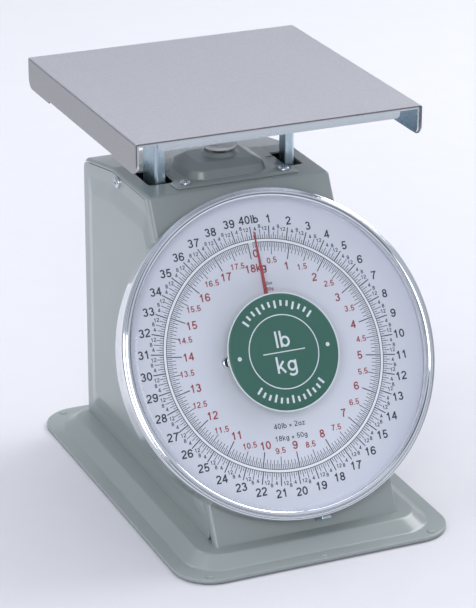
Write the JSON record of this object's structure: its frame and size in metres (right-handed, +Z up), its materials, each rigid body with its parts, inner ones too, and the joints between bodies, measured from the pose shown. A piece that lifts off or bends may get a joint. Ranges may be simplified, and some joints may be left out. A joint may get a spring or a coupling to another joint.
{
  "type": "mechanical dial platform scale",
  "caption": "Mechanical dial scale: folded platform on two posts over a leaning dial housing with a red pointer, a zero knob and a pressed base.",
  "frame": {"origin": "centre of the base's footprint, at floor level", "axes": "+Z up, -Y towards the reader of the dial, +X to the reader's right"},
  "size_m": [0.2206, 0.2858, 0.2764],
  "materials": {
    "enamel": "grey-green baked enamel, semi-gloss",
    "stainless": "fine satin grain, folded edges",
    "zinc": "bright bluish zinc plating",
    "bright_screws": "bright plated",
    "turned_steel": "turned",
    "brass": "machined",
    "spring_steel": "oiled spring wire",
    "rubber": "matt",
    "white_rubber": "matt",
    "chrome": "bright chrome plate",
    "pan_enamel": "white enamel",
    "dial_face": "printed off-white enamel",
    "clear_lens": "clear, polished",
    "disc_green": "gloss print",
    "pointer_red": "red lacquer",
    "knob_grey": "moulded, light grey",
    "damper_steel": "black lacquer"
  },
  "bodies": {
    "scale_body": {"base_plate": "enamel", "rubber_feet": "rubber", "foot_rivets": "enamel", "housing_shell": "enamel", "side_panel_left": "enamel", "side_panel_right": "enamel", "back_cover": "enamel", "corner_brackets": "zinc", "housing_screws": "bright_screws", "top_cover": "enamel", "cover_screws": "bright_screws", "dial_pan": "pan_enamel", "dial_plate": "dial_face", "dial_screws": "bright_screws", "lens_gasket": "white_rubber", "lens": "clear_lens", "centre_disc": "disc_green", "bezel_ring": "chrome", "bezel_clip": "zinc", "chassis": "zinc", "top_bridge": "zinc", "chassis_screws": "bright_screws", "link_bushes": "brass", "damper_cylinder": "damper_steel", "damper_cap": "damper_steel", "overload_stops": "rubber", "movement_front_plate": "zinc", "movement_back_plate": "zinc", "movement_pillars": "turned_steel", "shaft_bushes": "brass", "roller_pin": "turned_steel", "load_springs": "spring_steel"},
    "carrier": {"platform_plate": "stainless", "platform_frame": "zinc", "post_left": "zinc", "post_right": "zinc", "post_pins": "turned_steel", "carrier_bar": "zinc", "carrier_screws": "bright_screws", "lower_spring_plugs": "turned_steel", "rack_arm": "zinc", "damper_piston": "turned_steel"},
    "rack_body": {"rack": "brass", "rack_pin": "turned_steel"},
    "pointer_train": {"pinion": "brass", "pointer_shaft": "turned_steel", "shaft_collar": "brass", "pointer": "pointer_red", "pointer_hub": "brass"},
    "roller": {"rack_roller": "turned_steel"},
    "upper_link": {"upper_link_arms": "zinc", "upper_link_shaft": "turned_steel"},
    "lower_link": {"lower_link_arms": "zinc", "lower_link_shaft": "turned_steel"},
    "hanger": {"spring_hanger": "zinc", "upper_spring_plugs": "turned_steel"},
    "zero_adjuster": {"zero_knob": "knob_grey", "zero_screw": "turned_steel"}
  },
  "joints": [
    {"name": "platform_travel", "type": "slide", "parent": "scale_body", "child": "carrier", "axis": [0, 0, -1], "range_m": [0, 0.02159], "stiffness_N_per_m": 8240, "springref_m": -0.00125, "deforming": ["load_springs"]},
    {"name": "pointer_turn", "type": "hinge", "parent": "scale_body", "child": "pointer_train", "pos_m": [0, -0.05714, 0.1126], "axis": [0, 0.8729, -0.4879], "range_deg": [0, 360]},
    {"name": "rack_slide", "type": "slide", "parent": "scale_body", "child": "rack_body", "axis": [0, -0.4879, -0.8729], "range_m": [0, 0.01885]},
    {"name": "roller_turn", "type": "hinge", "parent": "scale_body", "child": "roller", "pos_m": [0.01103, -0.03968, 0.10284], "axis": [0, -0.8729, 0.4879], "range_deg": [0, 308.58]},
    {"name": "upper_link_turn", "type": "hinge", "parent": "scale_body", "child": "upper_link", "pos_m": [0, 0.1, 0.17], "axis": [1, 0, 0], "range_deg": [0, 18.83]},
    {"name": "lower_link_turn", "type": "hinge", "parent": "scale_body", "child": "lower_link", "pos_m": [0, 0.1, 0.05], "axis": [1, 0, 0], "range_deg": [0, 18.83]},
    {"name": "zero_knob_turn", "type": "hinge", "parent": "scale_body", "child": "zero_adjuster", "pos_m": [0.002, 0.038, 0.214], "axis": [0, 0, 1], "range_deg": [-540.1, 540.1]},
    {"name": "hanger_slide", "type": "slide", "parent": "scale_body", "child": "hanger", "axis": [0, 0, 1], "range_m": [-0.0012, 0.0012]}
  ],
  "couplings": [
    {"joint": "pointer_turn", "follows": "platform_travel", "rad_per_m": 290.97},
    {"joint": "rack_slide", "follows": "platform_travel", "ratio": 0.87292},
    {"joint": "roller_turn", "follows": "platform_travel", "rad_per_m": 249.4},
    {"joint": "upper_link_turn", "follows": "platform_travel", "rad_per_m": 15.22},
    {"joint": "lower_link_turn", "follows": "platform_travel", "rad_per_m": 15.22},
    {"joint": "zero_knob_turn", "follows": "hanger_slide", "rad_per_m": -7854}
  ]
}
